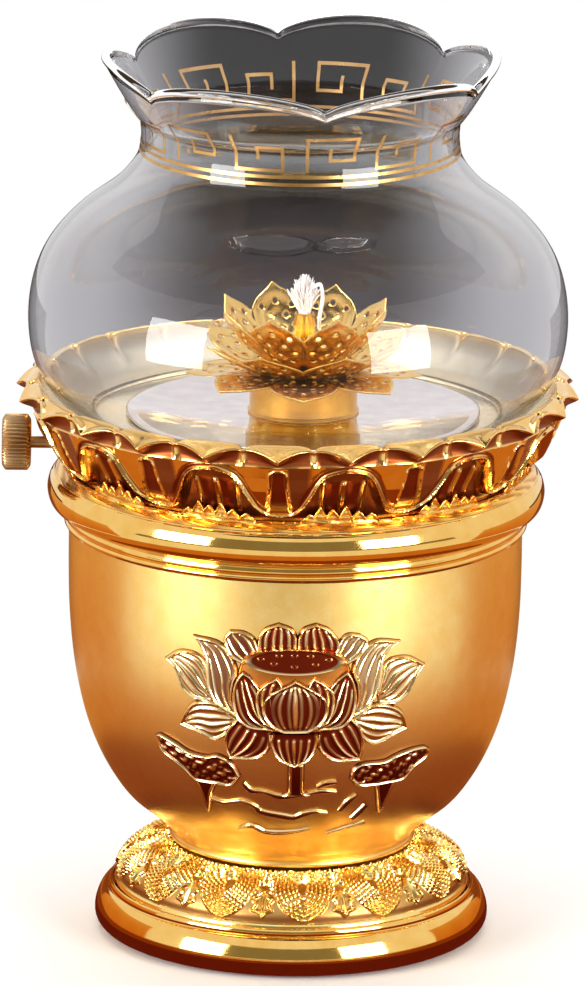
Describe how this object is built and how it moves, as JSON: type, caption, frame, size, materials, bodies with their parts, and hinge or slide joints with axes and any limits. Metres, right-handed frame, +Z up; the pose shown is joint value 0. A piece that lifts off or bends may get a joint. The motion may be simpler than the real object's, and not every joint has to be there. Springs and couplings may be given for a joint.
{
  "type": "lotus oil lamp",
  "caption": "Footed gold-plated oil lamp with a lotus relief, a petal crown, a pierced lotus burner with a wick knob, and a ruffled glass chimney.",
  "frame": {"origin": "on the lamp's axis, in the plane that it stands on", "axes": "+Z up along the axis, -Y out of the front with the lotus relief, +X to the right seen from the front; the wick knob is on the -X side"},
  "size_m": [0.1281, 0.1258, 0.2004],
  "materials": {
    "satin_gold": "satin gold plate",
    "polished_gold": "polished gold plate",
    "cast_gold": "polished gold plate over cast relief, dull in the ground",
    "relief_gold": "polished gold plate over cast relief, dark in the lines",
    "crown_gold": "polished gold plate",
    "deck_steel": "bright plated sheet",
    "burner_brass": "bright brass",
    "petal_brass": "stamped and pierced sheet brass",
    "aged_brass": "dull knurled brass",
    "zinc_steel": "zinc plated",
    "felt": "felt",
    "cotton": "frayed white cotton",
    "chimney_glass": "clear glass with a printed gold key band",
    "cup_glass": "clear pressed glass"
  },
  "bodies": {
    "base": {"felt_pad": "felt", "foot_ring": "polished_gold", "foot_dome": "cast_gold", "foot_washer": "zinc_steel", "foot_nut": "zinc_steel", "foot_bolt": "zinc_steel", "body_shell": "satin_gold", "lotus_relief": "relief_gold", "leaf_relief_left": "relief_gold", "leaf_relief_right": "relief_gold", "collar_ring": "polished_gold", "oil_cup": "cup_glass"},
    "head": {"petal_crown": "crown_gold", "deck_plate": "deck_steel", "burner_cup": "burner_brass", "burner_nut": "burner_brass", "wick_tube": "burner_brass", "winder_bracket": "burner_brass", "petal_ring_lower": "petal_brass", "petal_ring_middle": "petal_brass", "petal_ring_upper": "petal_brass", "flower_lock_ring": "burner_brass"},
    "chimney": {"glass_chimney": "chimney_glass"},
    "winder": {"spindle": "aged_brass", "star_wheel": "burner_brass", "spindle_clip": "zinc_steel", "wick_knob": "aged_brass"},
    "wick": {"wick": "cotton"}
  },
  "joints": [
    {"name": "head_lift", "type": "slide", "parent": "base", "child": "head", "axis": [0, 0, 1], "range_m": [0, 0.08]},
    {"name": "chimney_lift", "type": "slide", "parent": "head", "child": "chimney", "axis": [0, 0, 1], "range_m": [0, 0.12]},
    {"name": "knob_turn", "type": "hinge", "parent": "head", "child": "winder", "pos_m": [0, -0.00455, 0.1122], "axis": [1, 0, 0], "range_deg": [0, 200]},
    {"name": "wick_feed", "type": "slide", "parent": "head", "child": "wick", "axis": [0, 0, 1], "range_m": [0, 0.01]}
  ],
  "couplings": [
    {"joint": "knob_turn", "follows": "wick_feed", "rad_per_m": 349}
  ]
}
